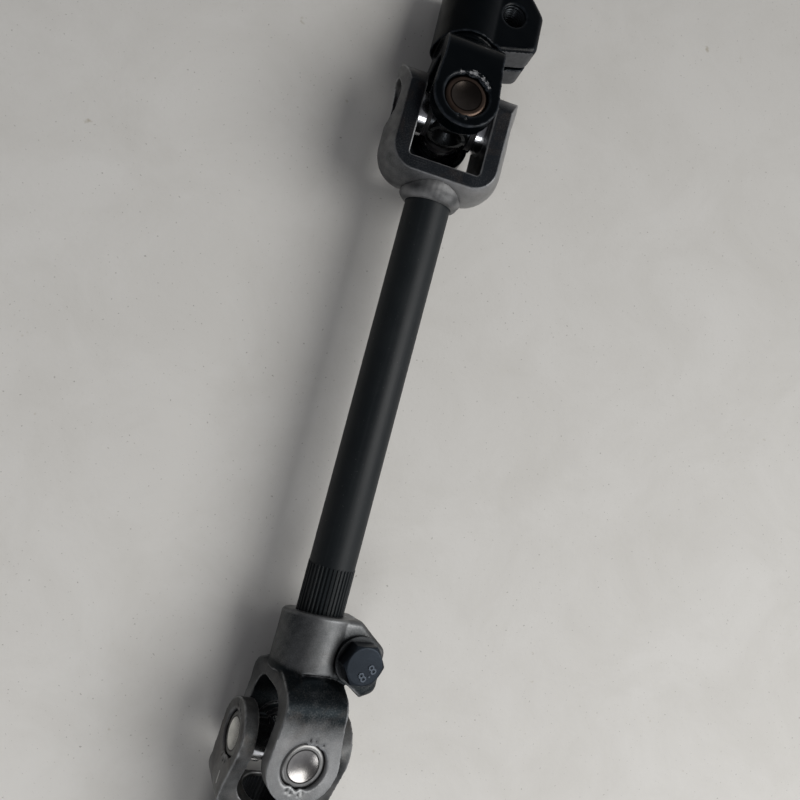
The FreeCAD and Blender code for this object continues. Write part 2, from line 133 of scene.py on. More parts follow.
def averaged(values, edges, steps, factor=0.5):
    """Moves each value towards the mean of its neighbours, several times."""
    count = np.bincount(edges.ravel(), minlength=len(values)).clip(1)[:, None]
    values = values.copy()
    for _ in range(steps):
        total = np.empty_like(values)
        for axis in range(values.shape[1]):
            total[:, axis] = (np.bincount(edges[:, 0], values[edges[:, 1], axis], len(values))
                              + np.bincount(edges[:, 1], values[edges[:, 0], axis], len(values)))
        values += factor * (total / count - values)
    return values


def attribute(mesh, name, values, domain="POINT"):
    layer = mesh.attributes.new(name, "FLOAT", domain)
    layer.data.foreach_set("value", np.asarray(values, np.float32))


def waves(points, scale, seed, count=7):
    """Smooth unevenness, about -1 to 1, from a few seeded sine waves whose lengths are near scale."""
    random = np.random.default_rng(seed)
    total = np.zeros(len(points))
    for _ in range(count):
        way = random.normal(size=3)
        way *= random.uniform(0.6, 1.6) / np.linalg.norm(way) / scale
        total += np.sin(points @ way * 2 * math.pi + random.uniform(0, 2 * math.pi))
    return total / math.sqrt(count)


def new_object(name, data):
    obj = bpy.data.objects.new(name, data)
    bpy.context.scene.collection.objects.link(obj)
    return obj


def dressed(obj, mat, body, node=None, smooth=True):
    """Gives a piece its material and body, and hides the node that it stands for."""
    obj.data.materials.clear()
    obj.data.materials.append(mat)
    if smooth:
        obj.data.shade_smooth()
    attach(obj, body)
    if node:
        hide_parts(node)


def remeshed(name, node, voxel):
    """A fine, even copy of a node's mesh, ready for sculpting."""
    copy = new_object(name, frame["nodes"][node].data.copy())
    modifier = copy.modifiers.new("remesh", "REMESH")
    modifier.mode = "VOXEL"
    modifier.voxel_size = voxel * MM
    evaluated = copy.evaluated_get(bpy.context.evaluated_depsgraph_get())
    mesh = bpy.data.meshes.new_from_object(evaluated)
    copy.modifiers.clear()
    copy.data = mesh
    return copy


# Relief in millimetres over which edges come to look rubbed and get a painted highlight, and corners get
# dirt and painted shade
WEAR_AND_HIGHLIGHT_RELIEF = (0.05, 0.22)
GRIME_AND_SHADE_RELIEF = (0.03, 0.16)
RELIEF_STEPS = 14
UNEVEN_SCALE = 9.0
PLAIN_TONE = 0.5


def sculpted(name, node, local, voxel, soften, shape=None, marks=None, tone=None, uneven=0.0, seed=0):
    """Remeshes a node, softens its edges, sculpts it and records rubbed edges that also carry a painted
    highlight, dirt and painted shade in hollows, bare metal and tone.
    """
    obj = remeshed(name, node, voxel)
    mesh = obj.data
    edges = edge_array(mesh)
    points = averaged(vertex_array(mesh), edges, soften)
    store(mesh, points)
    inside = local.to_local(points)
    normals = local.normals(vertex_array(mesh, "vertex_normals", "vector"))
    inside += normals * (uneven * waves(inside, UNEVEN_SCALE, seed))[:, None]
    if shape:
        inside = shape(inside, normals)
    points = local.to_world(inside)
    store(mesh, points)
    normals = vertex_array(mesh, "vertex_normals", "vector")
    flat = averaged(points, edges, RELIEF_STEPS)
    relief = np.einsum("ij,ij->i", points - flat, normals) / MM
    attribute(mesh, "wear_and_highlight", smooth_step(*WEAR_AND_HIGHLIGHT_RELIEF, relief))
    # dirt and painted shade in hollows and creases
    attribute(mesh, "cavity", smooth_step(*GRIME_AND_SHADE_RELIEF, -relief))
    turned = local.normals(normals)
    bare = marks(inside, turned) if marks else np.zeros(len(points))
    attribute(mesh, "bare", np.clip(bare, 0, 1))
    shade = tone(inside, turned) if tone else np.full(len(points), PLAIN_TONE)
    attribute(mesh, "tone", np.clip(shade, 0, 1))
    return obj


# Chisel stakes round the cups

STAKE_REACH = 1.2
STAKE_SHINE_AREA = 0.9
BURR_RADII = (8.9, 7.6)
BURR_HEIGHTS = (CUP_END - 0.25, CUP_END + 0.3)
BURR_LIMIT = CUP_RADIUS - 0.6


class Stake:
    """A chisel mark beside a cup: a dent in the ear, with a burr pushed over the cup's rim."""

    def __init__(self, side, angle, radius, length, width, depth, lip):
        self.side, self.angle = side, math.radians(angle)
        self.radius, self.length, self.width = radius, length, width
        self.depth, self.lip = depth, lip

    def apply(self, points):
        x, y, z = points.T
        near = z * self.side > CUP_END - STAKE_REACH
        radius, angle = np.hypot(x, y), np.arctan2(y, x)
        off = np.angle(np.exp(1j * (angle - self.angle))) * radius
        dent = np.exp(-(off / self.width) ** 2 * 2 - ((radius - self.radius) / self.length) ** 2 * 4)
        points[:, 2] -= np.where(near, self.side * self.depth * dent, 0)
        pull = np.exp(-(off / (self.width * 1.5)) ** 2) * smooth_step(*BURR_RADII, radius)
        pull *= smooth_step(*BURR_HEIGHTS, z * self.side) * (radius > BURR_LIMIT)
        points[:, :2] *= (1 - np.where(near, pull * self.lip / radius.clip(1), 0))[:, None]
        return points

    def shine(self, points):
        """The struck metal, brightest in the middle of the mark."""
        x, y, z = points.T
        off_x = x - self.radius * math.cos(self.angle)
        off_y = y - self.radius * math.sin(self.angle)
        return np.exp(-(off_x ** 2 + off_y ** 2) / STAKE_SHINE_AREA) * (z * self.side > OUTER_FACE)


def hand_struck(angles, seed, depth):
    """Stakes at the given angles on both ears, no two quite alike."""
    random = np.random.default_rng(seed)
    stakes = []
    for side in (1, -1):
        for angle in angles:
            stakes.append(Stake(side,
                                angle=angle + random.uniform(-4, 4),
                                radius=8.35 + random.uniform(-0.15, 0.45),
                                length=1.0 + random.uniform(-0.2, 0.5),
                                width=0.62 + random.uniform(-0.15, 0.3),
                                depth=depth * random.uniform(0.7, 1.3),
                                lip=random.uniform(0.35, 0.85)))
    return stakes


upper_stakes = hand_struck((112, 95, 79, 64, 47, 33, -82, -97), seed=31, depth=0.40)
lower_stakes = hand_struck((92, 73, 55, -76, -90, -105, -121), seed=32, depth=0.35)
end_stakes = hand_struck((62, 78, 94, -74, -92, -110), seed=33, depth=0.40)


def staked(points, stakes):
    for stake in stakes:
        points = stake.apply(points)
    return points


def shine(points, stakes, strength):
    return sum(stake.shine(points) * strength for stake in stakes)


# Shapes of the yokes: their stakes, and the tapped holes opened for their threads

WIDENED_RADIUS = 4.25
WIDENED_SPAN = (CLAMP_SLOT / 2 - 0.3, LUG_HALF_HEIGHT + 0.2)


def widen_hole(points, centre, side):
    """Opens the tapped hole of one lug so that its thread can be set in."""
    offset = points[:, :2] - np.array(centre)
    distance = np.hypot(*offset.T).clip(1e-6)
    height = points[:, 2] * side
    low, high = WIDENED_SPAN
    inside = (distance < WIDENED_RADIUS) & (height > low) & (height < high)
    grown = np.array(centre) + offset / distance[:, None] * WIDENED_RADIUS
    points[:, :2] = np.where(inside[:, None], grown, points[:, :2])
    return points


def shape_upper(points, normals):
    return widen_hole(staked(points, upper_stakes), UPPER_HOLE, 1)


def shape_lower(points, normals):
    return staked(points, lower_stakes)


def shape_end(points, normals):
    return widen_hole(staked(points, end_stakes), END_HOLE, -1)


# Marks: where a yoke shows bare metal

def stroke(points, start, end, width):
    """A straight mark between two places in the XY plane."""
    start, end = np.array(start), np.array(end)
    along = end - start
    share = np.clip((points[:, :2] - start) @ along / (along @ along), 0, 1)
    distance = np.hypot(*(points[:, :2] - start - share[:, None] * along).T)
    return np.exp(-(distance / width) ** 2)


def arc(points, radius, width, rise, fall):
    """A mark round the ears' axis, which grows over the angles in rise and fades over those in fall."""
    distance = np.hypot(points[:, 0], points[:, 1])
    angle = np.degrees(np.arctan2(points[:, 1], points[:, 0]))
    ring = np.exp(-((distance - radius) / width) ** 2)
    return ring * smooth_step(*rise, angle) * smooth_step(*fall, angle)


def lug_front(points, normals):
    """The machined front face of the upper yoke's lugs, beside the arch round the ears."""
    beside_collar = (points[:, 0] > 10.5) & (points[:, 1] < 32)
    facing_ears = (normals[:, 1] < -0.7) & (np.abs(normals[:, 2]) < 0.5)
    return (beside_collar & facing_ears).astype(float)


def marks_upper(points, normals):
    """Burrs in arcs over the cups, a scratch on the upper ear and the bare front of the lugs."""
    outer_face = np.abs(points[:, 2]) > OUTER_FACE
    upper_side = points[:, 2] > 10
    burr = arc(points, radius=8.1, width=0.3, rise=(20, 45), fall=(135, 105))
    burr += arc(points, radius=9.2, width=0.25, rise=(55, 65), fall=(100, 85))
    scratch = stroke(points, (1.3, 19.6), (6.4, 18.4), width=0.28)
    bare = shine(points, upper_stakes, 0.5)
    bare += 0.42 * burr * outer_face
    bare += scratch * upper_side * 0.5
    return bare + lug_front(points, normals) * 0.8


def marks_lower(points, normals):
    return shine(points, lower_stakes, 0.35)


def marks_end(points, normals):
    """Stakes, and a rubbed streak on the ear at -Z."""
    rubbed_ear = points[:, 2] < -15
    rub = stroke(points, (3.4, 11.9), (4.2, 15.2), width=0.7)
    return shine(points, end_stakes, 0.3) + rub * rubbed_ear * 0.8


# Tones: from a piece's dark colour (0) to its light one (1); on the yokes they mostly paint shade and
# light, over some uneven tone

def painted_shade_in_fork(points, normals):
    """The faces that look into the fork, which are darkened as painted shade."""
    inward = -normals[:, 2] * np.sign(points[:, 2])
    return smooth_step(0.0, 0.35, inward) * (points[:, 1] < NECK_START)


def tone_upper(points, normals):
    return 1 - lug_front(points, normals)


def tone_lower(points, normals):
    """Grey on the ears, a little darker on the collar; painted shadow on the neck between them and round
    the bolt's head, painted shade on the collar's far side and inside the fork, painted light on the
    ears' tips and sides.
    """
    x, y, z = points.T
    # painted shadow: the neck under the collar's overhang is darkened
    neck = smooth_step(6, 17, y) * smooth_step(28, 24, y)
    collar = smooth_step(22, 26, y)
    # painted shade on the collar's far side, away from the window
    collar_far_side_painted_shade = smooth_step(-3, -12, x) * smooth_step(20, 25, y)
    # painted shadow round the bolt's head
    clear_of_painted_bolt_shadow = smooth_step(7.4, 12.5, np.hypot(x - BOLT_PLACE[0], y - BOLT_PLACE[1]))
    # painted light: the ears' tips are made paler
    ear_tip_painted_light = smooth_step(2, 9, x) * smooth_step(8, -4, y)
    # painted highlight on the sides of the ears and neck
    ear_side_painted_shading = smooth_step(0.45, 0.85, np.abs(normals[:, 0])) * (y < 24)
    tone = 0.66 + 0.05 * waves(points, 14.0, 41) + 0.03 * waves(points, 4.0, 42)
    tone -= 0.66 * neck
    tone -= 0.22 * collar
    tone -= 0.22 * collar_far_side_painted_shade
    tone *= clear_of_painted_bolt_shadow * 0.7 + 0.3
    tone += 0.18 * ear_tip_painted_light
    tone += 0.30 * ear_side_painted_shading
    return tone * (1 - 0.95 * painted_shade_in_fork(points, normals))


def tone_end(points, normals):
    """Darker at the ears' tips; painted shade on their sides and inside the fork."""
    past_tip = smooth_step(0, 10, points[:, 1])
    # painted shade on the ears' sides
    ear_side_painted_shading = smooth_step(0.5, 0.85, np.abs(normals[:, 0])) * (points[:, 1] < 20)
    tone = 0.42 + 0.10 * waves(points, 12.0, 43) + 0.05 * waves(points, 4.0, 44)
    tone += 0.25 * past_tip
    tone -= 0.2 * ear_side_painted_shading
    return tone * (1 - 0.9 * painted_shade_in_fork(points, normals))


# Inside the shaft yoke: how far its arms reach towards the web, and half the width between them
ARM_REACH = -18.0
ARM_SPACE = 13.0


def tone_strap(points, normals):
    """Painted shade darkens the cut faces and the faces inside the arms and web; painted light makes the
    bent outside paler on its +X half.
    """
    x, y, z = points.T
    # painted shade on the flat cut faces
    cut = smooth_step(0.55, 0.9, np.abs(normals[:, 2]))
    # painted shade on the faces inside the arms and web
    arms_inside = -normals[:, 0] * np.sign(x) * (y > ARM_REACH)
    web_inside = normals[:, 1] * (np.abs(x) < ARM_SPACE) * (y < 5)
    tone = 0.38 + 0.08 * waves(points, 13.0, 45) + 0.05 * waves(points, 4.0, 46)
    # painted light: paler towards +X, the window's side
    tone += 0.55 * smooth_step(-14, 10, x)
    tone *= 1 - 0.98 * cut
    return tone * (1 - 0.95 * smooth_step(0.4, 0.8, np.maximum(arms_inside, web_inside)))


def tone_weld(points, normals):
    return 0.55 + 0.25 * waves(points, 8.0, 47)


# Materials

class Nodes:
    """Short calls for building a node tree."""

    def __init__(self, tree):
        self.tree = tree
        self.coords = tree.nodes.new("ShaderNodeTexCoord")

    def link(self, source, target):
        self.tree.links.new(source, target)

    def noise(self, scale, detail=4, roughness=0.6, distortion=0.0, stretch=None):
        node = self.tree.nodes.new("ShaderNodeTexNoise")
        node.inputs["Scale"].default_value = scale
        node.inputs["Detail"].default_value = detail
        node.inputs["Roughness"].default_value = roughness
        node.inputs["Distortion"].default_value = distortion
        if stretch is None:
            self.link(self.coords.outputs["Object"], node.inputs["Vector"])
        else:
            mapping = self.tree.nodes.new("ShaderNodeMapping")
            mapping.inputs["Scale"].default_value = stretch
            self.link(self.coords.outputs["Object"], mapping.inputs["Vector"])
            self.link(mapping.outputs["Vector"], node.inputs["Vector"])
        return node.outputs["Fac"]

    def attribute(self, name):
        node = self.tree.nodes.new("ShaderNodeAttribute")
        node.attribute_name = name
        return node.outputs["Fac"]

    def axes(self, coordinates):
        """The X, Y and Z of one kind of texture coordinates."""
        node = self.tree.nodes.new("ShaderNodeSeparateXYZ")
        self.link(self.coords.outputs[coordinates], node.inputs["Vector"])
        return node.outputs

    def ramp(self, fac, *stops):
        """A colour ramp; a stop's colour is a tuple, or one number for a grey."""
        node = self.tree.nodes.new("ShaderNodeValToRGB")
        elements = node.color_ramp.elements
        while len(elements) < len(stops):
            elements.new(0.5)
        for element, (position, color) in zip(elements, stops):
            element.position = position
            element.color = (*color, 1) if isinstance(color, tuple) else (color, color, color, 1)
        self.link(fac, node.inputs["Fac"])
        return node.outputs["Color"]

    def mix(self, fac, a, b):
        """Goes from colour a to colour b; each is a tuple or a node's output."""
        node = self.tree.nodes.new("ShaderNodeMix")
        node.data_type = "RGBA"
        factor, color_a, color_b = node.inputs[0], node.inputs[6], node.inputs[7]
        self.link(fac, factor)
        for value, socket in ((a, color_a), (b, color_b)):
            if isinstance(value, tuple):
                socket.default_value = (*value, 1)
            else:
                self.link(value, socket)
        return node.outputs[2]

    def math(self, operation, a, b, clamp=False):
        node = self.tree.nodes.new("ShaderNodeMath")
        node.operation = operation
        node.use_clamp = clamp
        for value, socket in zip((a, b), node.inputs):
            if isinstance(value, (int, float)):
                socket.default_value = value
            else:
                self.link(value, socket)
        return node.outputs[0]

    def swing(self, fac, reach):
        """A noise moved to lie about zero, and scaled."""
        return self.math("MULTIPLY", self.math("SUBTRACT", fac, 0.5), reach)

    def chipped(self, name, scale):
        """An attribute broken up by noise, with crisp, chipped edges."""
        threshold, sharpness = 0.93, 7.0
        total = self.math("ADD", self.attribute(name), self.noise(scale, 5, 0.75, distortion=0.7))
        return self.math("MULTIPLY", self.math("SUBTRACT", total, threshold), sharpness, clamp=True)

    def bump(self, height, strength, distance):
        node = self.tree.nodes.new("ShaderNodeBump")
        node.inputs["Strength"].default_value = strength
        node.inputs["Distance"].default_value = distance
        self.link(height, node.inputs["Height"])
        return node.outputs["Normal"]


def new_material(name, color, metallic, roughness, specular=0.5):
    mat = bpy.data.materials.new(name)
    mat.use_nodes = True
    shader = mat.node_tree.nodes["Principled BSDF"]
    shader.inputs["Base Color"].default_value = (*color, 1)
    shader.inputs["Metallic"].default_value = metallic
    shader.inputs["Roughness"].default_value = roughness
    shader.inputs["Specular IOR Level"].default_value = specular
    return mat, Nodes(mat.node_tree), shader


def scaled(color, factor):
    return tuple(factor * channel for channel in color)


GRIME_AND_SHADE = (0.006, 0.006, 0.007)
RUST = (0.14, 0.085, 0.05)
BARE_STEEL = (0.42, 0.42, 0.41)


def steel(name, dark, light, metallic, roughness, worn_and_highlit=None, rust=0.0, speck=0.0):
    """Phosphated, black or bare steel: mottled, pitted, rubbed and given a painted highlight on its
    edges, dirty and given painted shade in its corners, with painted light and shade from its tone.
    """
    mat, n, shader = new_material(name, light, metallic, roughness)
    blotch = n.noise(110.0, 5, 0.65, distortion=0.4)
    mottle = n.math("ADD", n.swing(blotch, 0.22), n.swing(n.noise(2200.0, 3, 0.7), 0.45))
    # painted light and shade: the tone attribute sets the colour from dark to light
    color = n.mix(n.math("ADD", n.attribute("tone"), mottle, clamp=True), dark, light)
    if speck:
        dots = n.ramp(n.noise(2600.0, 2, 0.6), (0.56, 0.0), (0.72, 1.0))
        dots = n.math("MULTIPLY", n.math("MULTIPLY", dots, n.attribute("tone")), speck)
        color = n.mix(dots, color, scaled(light, 1.6))
    if rust:
        film = n.ramp(n.noise(75.0, 6, 0.72, distortion=0.8), (0.5, 0.0), (0.7, 1.0))
        color = n.mix(n.math("MULTIPLY", film, rust), color, RUST)
    if worn_and_highlit:
        patches = n.ramp(n.noise(260.0, 4, 0.7), (0.25, 0.25), (0.6, 1.0))
        # lighter edges: rubbed metal and a painted highlight
        color = n.mix(n.math("MULTIPLY", n.attribute("wear_and_highlight"), patches), color, worn_and_highlit)
    # darkened hollows: dirt and painted shade
    color = n.mix(n.ramp(n.attribute("cavity"), (0.15, 0.0), (0.9, 0.85)), color, GRIME_AND_SHADE)
    n.link(n.mix(n.chipped("bare", 900.0), color, BARE_STEEL), shader.inputs["Base Color"])
    uneven_gloss = n.ramp(blotch, (0.3, roughness + 0.08), (0.7, roughness - 0.05))
    n.link(uneven_gloss, shader.inputs["Roughness"])
    n.link(n.bump(n.noise(1400.0, 3, 0.7), 0.4, 0.07 * MM), shader.inputs["Normal"])
    return mat


def gloss_black(name):
    """Thick black paint, chipped to bare metal at the stakes and on the lugs' cut faces; its edges turn
    lighter, partly rubbed and partly a painted highlight.
    """
    mat, n, shader = new_material(name, (0.004, 0.005, 0.006), 0.0, 0.24, specular=0.1)
    dust = n.ramp(n.noise(80.0, 6, 0.65), (0.5, 0.0), (0.9, 0.4))
    paint = n.mix(dust, (0.0005, 0.0012, 0.0018), (0.0025, 0.0032, 0.004))
    patches = n.ramp(n.noise(420.0, 4, 0.7), (0.3, 0.1), (0.62, 0.8))
    # lighter edges: rubbed paint and a painted highlight
    paint = n.mix(n.math("MULTIPLY", n.attribute("wear_and_highlight"), patches), paint, (0.030, 0.035, 0.042))
    cut_face = n.mix(n.noise(420.0, 5, 0.7), (0.02, 0.021, 0.023), (0.11, 0.112, 0.116))
    metal = n.mix(n.attribute("tone"), cut_face, (0.19, 0.192, 0.197))
    chips = n.chipped("bare", 1300.0)
    n.link(n.mix(chips, paint, metal), shader.inputs["Base Color"])
    n.link(n.ramp(chips, (0.0, 0.22), (1.0, 0.42)), shader.inputs["Roughness"])
    n.link(n.bump(n.noise(500.0, 3, 0.5), 0.15, 0.1 * MM), shader.inputs["Normal"])
    return mat


def shaft_black(name):
    """Satin black, drawn lengthwise, with faint handling marks."""
    mat, n, shader = new_material(name, (0.010, 0.012, 0.013), 0.0, 0.45, specular=0.17)
    drawn = n.noise(900.0, 4, 0.65, stretch=(1.0, 0.02, 1.0))
    cloud = n.noise(55.0, 6, 0.65)
    color = n.mix(n.ramp(cloud, (0.35, 0.0), (0.75, 1.0)), (0.006, 0.008, 0.0095), (0.011, 0.0135, 0.015))
    lines = n.math("MULTIPLY", n.ramp(drawn, (0.5, 0.0), (0.8, 1.0)), 0.35)
    color = n.mix(lines, color, (0.022, 0.024, 0.026))
    flecks = n.ramp(n.noise(1500.0, 2, 0.6), (0.70, 0.0), (0.76, 1.0))
    color = n.mix(n.math("MULTIPLY", flecks, 0.5), color, (0.10, 0.10, 0.10))
    n.link(color, shader.inputs["Base Color"])
    n.link(n.ramp(cloud, (0.3, 0.40), (0.7, 0.50)), shader.inputs["Roughness"])
    surface = n.math("ADD", drawn, n.noise(1400.0, 3, 0.6))
    n.link(n.bump(surface, 0.18, 0.06 * MM), shader.inputs["Normal"])
    return mat


def rubber(name):
    mat, n, shader = new_material(name, (0.02, 0.02, 0.022), 0.0, 0.5)
    color = n.mix(n.noise(400.0), (0.010, 0.010, 0.012), (0.024, 0.024, 0.026))
    n.link(color, shader.inputs["Base Color"])
    n.link(n.bump(n.noise(1500.0), 0.25, 0.05 * MM), shader.inputs["Normal"])
    return mat


# Zones of a cup, as stored on its faces, and the radius that its "radial" attribute is measured in
SIDE_ZONE, RIM_ZONE, DISH_ZONE = 0.0, 0.5, 1.0
RADIAL_UNIT = 8.0


def cup_steel(name, rim, dish, side):
    """A drawn cup: polished dish, duller turned rim with a groove inside it, and bright side; a painted
    highlight on the rim's outer edge, and dirt and painted shade round that edge.
    """
    mat, n, shader = new_material(name, dish, 1.0, 0.25)
    zone = n.attribute("zone")
    cloud = n.ramp(n.noise(240.0, 5, 0.65), (0.35, 0.0), (0.7, 0.35))
    groove = scaled(rim, 0.12)
    # the last stop is a painted highlight on the rim's rounded outer edge
    rings = ((0.0, dish), (5.0, dish), (5.12, groove), (5.40, groove), (5.64, rim), (6.88, rim),
             (7.20, scaled(rim, 1.6)))
    face = n.ramp(n.attribute("radial"), *((radius / RADIAL_UNIT, color) for radius, color in rings))
    color = n.mix(n.ramp(zone, (0.32, 0.0), (0.34, 1.0)), side, face)
    stain = n.math("MULTIPLY", n.ramp(n.noise(160.0, 4, 0.7), (0.5, 0.0), (0.68, 1.0)), 0.12)
    color = n.mix(stain, color, scaled(rim, 0.45))
    color = n.mix(cloud, color, groove)
    # dirt and painted shade round the cup's edge
    n.link(n.mix(n.attribute("grime_and_shade"), color, (0.012, 0.012, 0.012)), shader.inputs["Base Color"])
    gloss = n.ramp(zone, (0.0, 0.16), (0.32, 0.16), (0.34, 0.36), (0.65, 0.36), (0.67, 0.25))
    n.link(gloss, shader.inputs["Roughness"])
    n.link(n.bump(n.noise(1800.0, 3, 0.6), 0.12, 0.04 * MM), shader.inputs["Normal"])
    return mat


shaft_mat = shaft_black("shaft_black")
black_mat = gloss_black("gloss_black")
fork_mat = steel("fork_steel", dark=(0.007, 0.009, 0.012), light=(0.28, 0.282, 0.285),
                 metallic=0.85, roughness=0.44, worn_and_highlit=(0.48, 0.485, 0.49), rust=0.10)
clamp_mat = steel("clamp_steel", dark=(0.004, 0.007, 0.009), light=(0.255, 0.258, 0.26),
                  metallic=0.85, roughness=0.44, worn_and_highlit=(0.24, 0.245, 0.25), rust=0.08, speck=0.25)
end_mat = steel("end_clamp_steel", dark=(0.010, 0.012, 0.013), light=(0.19, 0.19, 0.188),
                metallic=0.85, roughness=0.46, worn_and_highlit=(0.26, 0.262, 0.265), rust=0.15, speck=0.15)
weld_mat = steel("weld_steel", dark=(0.03, 0.032, 0.034), light=(0.20, 0.20, 0.20),
                 metallic=0.6, roughness=0.58, worn_and_highlit=(0.2, 0.2, 0.2))
bolt_mat = steel("bolt_black", dark=(0.004, 0.006, 0.009), light=(0.015, 0.021, 0.029),
                 metallic=0.8, roughness=0.42, worn_and_highlit=(0.075, 0.09, 0.11))
mark_mat = steel("mark_steel", dark=(0.05, 0.06, 0.075), light=(0.10, 0.115, 0.135),
                 metallic=0.8, roughness=0.42)
# painted shadow: the washer is made near black for the shade beside the bolt's head
washer_painted_shade_mat = steel("washer_steel_painted_shade", dark=(0.03, 0.032, 0.034), light=(0.075, 0.08, 0.085),
                   metallic=0.85, roughness=0.4)
cross_mat = steel("cross_steel", dark=(0.03, 0.033, 0.036), light=(0.09, 0.095, 0.10),
                  metallic=0.85, roughness=0.26)
thread_mat = steel("thread_steel", dark=(0.015, 0.017, 0.019), light=(0.10, 0.105, 0.11),
                   metallic=0.9, roughness=0.26)
bore_mat = steel("bore_steel", dark=(0.02, 0.022, 0.025), light=(0.07, 0.072, 0.075),
                 metallic=0.6, roughness=0.42)
needle_mat = steel("needle_steel", dark=(0.4, 0.4, 0.4), light=(0.6, 0.6, 0.6),
                   metallic=1.0, roughness=0.2)
# One cup steel in three brightnesses: the end cups' dish is made paler as painted light, the upper cups'
# dish darker as painted shade
lower_cup_mat = cup_steel("lower_cup_steel", rim=(0.20, 0.20, 0.198), dish=(0.25, 0.242, 0.235),
                          side=(0.9, 0.9, 0.9))
end_cup_painted_light_mat = cup_steel("end_cup_steel_painted_light", rim=(0.16, 0.16, 0.155), dish=(0.62, 0.62, 0.59),
                        side=(0.9, 0.9, 0.9))
upper_cup_painted_shade_mat = cup_steel("upper_cup_steel_painted_shade", rim=(0.085, 0.06, 0.047), dish=(0.045, 0.038, 0.033),
                          side=(0.95, 0.96, 0.98))
seal_mat = rubber("seal_rubber")


# Sculpted pieces that stand for the forged and bent nodes

yoke_upper = sculpted("upper_clamp_yoke_forging", "upper_clamp_yoke", upper_local, voxel=0.38, soften=2,
                      shape=shape_upper, marks=marks_upper, tone=tone_upper, uneven=0.03, seed=11)
dressed(yoke_upper, black_mat, "upper_yoke", "upper_clamp_yoke")
yoke_lower = sculpted("lower_clamp_yoke_forging", "lower_clamp_yoke", lower_local, voxel=0.36, soften=2,
                      shape=shape_lower, marks=marks_lower, tone=tone_lower, uneven=0.04, seed=12)
dressed(yoke_lower, clamp_mat, "shaft_assembly", "lower_clamp_yoke")
yoke_end = sculpted("end_clamp_yoke_forging", "end_clamp_yoke", end_local, voxel=0.37, soften=2,
                    shape=shape_end, marks=marks_end, tone=tone_end, uneven=0.04, seed=13)
dressed(yoke_end, end_mat, "end_yoke", "end_clamp_yoke")
strap = sculpted("shaft_yoke_strap", "shaft_yoke", shaft_local, voxel=0.27, soften=1,
                 tone=tone_strap, uneven=0.03, seed=14)
dressed(strap, fork_mat, "shaft_assembly", "shaft_yoke")


def lumpy(points, normals):
    """Ripples of the weld pool round the shaft, over broad lumps; none where it meets the shaft."""
    ripple_count, ripple_height = 30, 0.02
    angle = np.arctan2(points[:, 0], points[:, 2])
    ripple = np.cos(angle * ripple_count + 1.6 * np.sin(angle * 4)) * ripple_height
    lumps = waves(points, 7.0, 21) * 0.17 + waves(points, 2.6, 22) * 0.03
    distance = np.hypot(points[:, 0], points[:, 2])
    outside = smooth_step(SHAFT_RADIUS + 0.15, SHAFT_RADIUS + 1.6, distance)
    return points + normals * ((ripple + lumps) * outside)[:, None]


weld = sculpted("weld_bead_ripples", "weld_bead", shaft_local, voxel=0.25, soften=2,
                shape=lumpy, tone=tone_weld)
dressed(weld, weld_mat, "shaft_assembly", "weld_bead")

SHANK_CUT = 0.75


def thread_shank(points, normals):
    """Thins the bolt below its lug, where the rolled thread is set on."""
    radius = np.hypot(points[:, 0], points[:, 1])
    thinned = (points[:, 2] < CLAMP_SLOT / 2) & (radius > BOLT_RADIUS - 1)
    share = np.where(thinned, (BOLT_RADIUS - SHANK_CUT) / BOLT_RADIUS, 1)
    points[:, :2] *= share[:, None]
    return points


bolt = sculpted("pinch_bolt_head", "pinch_bolt", bolt_local, voxel=0.2, soften=2, shape=thread_shank)
dressed(bolt, bolt_mat, "shaft_assembly", "pinch_bolt")


# Threads, bore serrations and the mark on the bolt

def grid_object(name, rings):
    """A mesh over closed rings of as many points each, joined one to the next."""
    count, columns = len(rings), len(rings[0])
    faces = []
    for row in range(count - 1):
        for column in range(columns):
            after = (column + 1) % columns
            faces.append((row * columns + column, row * columns + after,
                          (row + 1) * columns + after, (row + 1) * columns + column))
    mesh = bpy.data.meshes.new(name)
    mesh.from_pydata([tuple(point) for point in np.concatenate(rings)], [], faces)
    mesh.update()
    return new_object(name, mesh)


# Radii of the threads, and of the plain walls that close them: in the tapped holes and on the bolt
HOLE_THREAD = {"root": 4.1, "crest": 3.45, "back": 4.6}
BOLT_THREAD = {"root": 3.3, "crest": 3.98, "back": 2.9}
HOLE_THREAD_SPAN = (CLAMP_SLOT / 2 + 0.1, LUG_HALF_HEIGHT - 0.9)
BOLT_THREAD_SPAN = (-LUG_HALF_HEIGHT - BOLT_TIP + 0.5, CLAMP_SLOT / 2)


def thread_sleeve(name, local, centre, low, high, root, crest, back):
    """A screw thread from low to high along local Z, closed at its back by a plain wall.

    Its ridge has a flat crest between even flanks, and starts and ends shallow.
    """
    rings_per_turn, columns = 8, 48
    angles = np.arange(columns) / columns * 2 * math.pi

    def ring(radius, height):
        return np.stack([centre[0] + radius * np.cos(angles), centre[1] + radius * np.sin(angles),
                         np.full(columns, height)], axis=1)

    rings = []
    for height in np.linspace(low, high, int((high - low) / THREAD_PITCH * rings_per_turn)):
        turn = (height / THREAD_PITCH - angles / (2 * math.pi)) % 1.0
        ridge = np.clip(1.25 - np.abs(turn - 0.5) * 2.5, 0.08, 1.0)
        ridge *= np.clip(min(height - low, high - height) / (THREAD_PITCH * 0.7), 0.15, 1)
        rings.append(ring(root + (crest - root) * ridge, height))
    rings += [ring(back, high), ring(back, low), rings[0]]
    return grid_object(name, [local.to_world(points) for points in rings])


